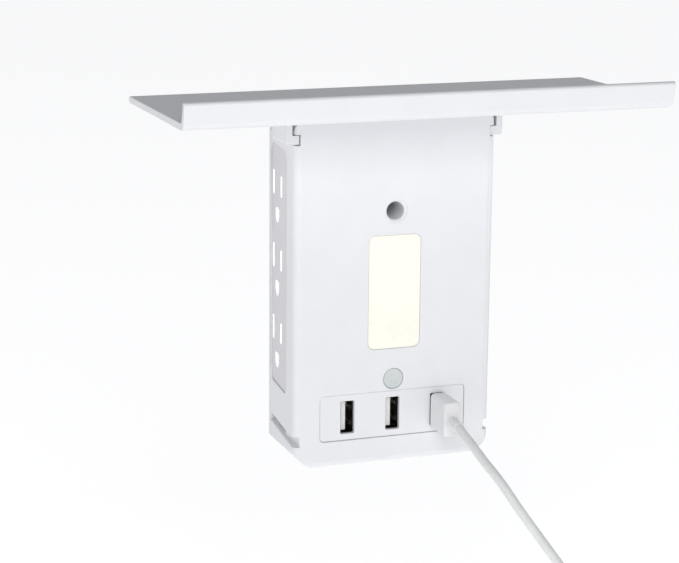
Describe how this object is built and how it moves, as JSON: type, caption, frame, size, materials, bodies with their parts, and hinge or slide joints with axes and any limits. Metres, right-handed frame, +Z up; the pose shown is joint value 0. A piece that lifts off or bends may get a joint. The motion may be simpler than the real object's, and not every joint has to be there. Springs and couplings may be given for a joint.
{
  "type": "wall outlet extender with shelf",
  "caption": "Plug-in wall outlet extender with outlets on both sides, USB-A sockets and a night light in front, and a lipped slide-on shelf; one USB lead plugged in.",
  "frame": {"origin": "on the axis of the wall screw, in the back plane that meets the wall", "axes": "+Z up, +Y into the wall, -Y the front face, +X to the right seen from the front"},
  "size_m": [0.192, 0.1317, 0.3102],
  "materials": {
    "housing": "satin moulded",
    "outlet_panel": "fine matt moulded",
    "lens": "opal diffuser",
    "sensor_window": "frosted",
    "contact_carrier": "moulded",
    "contact_brass": "rolled",
    "plated_blade": "nickel plated",
    "pin_plastic": "moulded",
    "black_wire": "insulated",
    "white_wire": "insulated",
    "green_wire": "insulated",
    "steel_screw": "zinc plated",
    "light_box": "white reflector",
    "circuit_board": "solder mask",
    "led": "phosphor",
    "photocell": "epoxy",
    "transformer_tape": "taped",
    "capacitor_sleeve": "heat-shrink sleeve",
    "varistor_coat": "epoxy coat",
    "fuse_body": "moulded",
    "usb_steel": "stamped",
    "usb_tongue": "moulded",
    "gilt_contact": "gold flash",
    "shelf": "satin moulded",
    "shutter": "moulded",
    "plug_grip": "soft satin overmould",
    "cable_jacket": "soft satin jacket",
    "tie": "moulded strap"
  },
  "bodies": {
    "housing": {"front_shell": "housing", "screw_tube": "housing", "back_cover": "housing", "left_outlet_panel": "outlet_panel", "right_outlet_panel": "outlet_panel", "usb_faceplate": "outlet_panel", "night_light_lens": "lens", "light_sensor_window": "sensor_window", "left_contact_carrier": "contact_carrier", "right_contact_carrier": "contact_carrier", "left_line_bus": "contact_brass", "left_neutral_bus": "contact_brass", "left_ground_bus": "contact_brass", "right_line_bus": "contact_brass", "right_neutral_bus": "contact_brass", "right_ground_bus": "contact_brass", "line_blade": "plated_blade", "neutral_blade": "plated_blade", "ground_pin": "plated_blade", "stabiliser_pin": "pin_plastic", "line_wires": "black_wire", "neutral_wires": "white_wire", "ground_wires": "green_wire", "housing_screws": "steel_screw", "light_box": "light_box", "led_board": "circuit_board", "night_light_leds": "led", "photocell": "photocell", "power_board": "circuit_board", "transformer": "transformer_tape", "filter_capacitors": "capacitor_sleeve", "surge_varistors": "varistor_coat", "thermal_fuse": "fuse_body", "usb_board": "circuit_board", "usb_shell_1": "usb_steel", "usb_shell_2": "usb_steel", "usb_shell_3": "usb_steel", "usb_tongue_1": "usb_tongue", "usb_tongue_2": "usb_tongue", "usb_tongue_3": "usb_tongue", "usb_contacts": "gilt_contact"},
    "shelf": {"shelf": "shelf"},
    "left_shutter_1": {"left_shutter_1": "shutter"},
    "left_shutter_2": {"left_shutter_2": "shutter"},
    "left_shutter_3": {"left_shutter_3": "shutter"},
    "right_shutter_1": {"right_shutter_1": "shutter"},
    "right_shutter_2": {"right_shutter_2": "shutter"},
    "right_shutter_3": {"right_shutter_3": "shutter"},
    "usb_lead": {"usb_plug_shell": "usb_steel", "usb_plug_core": "usb_tongue", "usb_plug_grip": "plug_grip", "usb_strain_relief": "plug_grip", "usb_cable": "cable_jacket", "usb_cable_coil": "cable_jacket", "usb_cable_tail": "cable_jacket", "cable_tie": "tie", "end_connector_grip": "plug_grip", "end_connector_tip": "usb_steel"}
  },
  "joints": [
    {"name": "shelf_slide", "type": "slide", "parent": "housing", "child": "shelf", "axis": [0, -1, 0], "range_m": [0, 0.02]},
    {"name": "left_shutter_1_slide", "type": "slide", "parent": "housing", "child": "left_shutter_1", "axis": [-0.0971, -0.9953, 0], "range_m": [0, 0.0027], "stiffness_N_per_m": 60},
    {"name": "left_shutter_2_slide", "type": "slide", "parent": "housing", "child": "left_shutter_2", "axis": [-0.0971, -0.9953, 0], "range_m": [0, 0.0027], "stiffness_N_per_m": 60},
    {"name": "left_shutter_3_slide", "type": "slide", "parent": "housing", "child": "left_shutter_3", "axis": [-0.0971, -0.9953, 0], "range_m": [0, 0.0027], "stiffness_N_per_m": 60},
    {"name": "right_shutter_1_slide", "type": "slide", "parent": "housing", "child": "right_shutter_1", "axis": [0.0971, -0.9953, 0], "range_m": [0, 0.0027], "stiffness_N_per_m": 60},
    {"name": "right_shutter_2_slide", "type": "slide", "parent": "housing", "child": "right_shutter_2", "axis": [0.0971, -0.9953, 0], "range_m": [0, 0.0027], "stiffness_N_per_m": 60},
    {"name": "right_shutter_3_slide", "type": "slide", "parent": "housing", "child": "right_shutter_3", "axis": [0.0971, -0.9953, 0], "range_m": [0, 0.0027], "stiffness_N_per_m": 60},
    {"name": "usb_plug_pull", "type": "slide", "parent": "housing", "child": "usb_lead", "axis": [0, -1, 0], "range_m": [0, 0.015]}
  ]
}
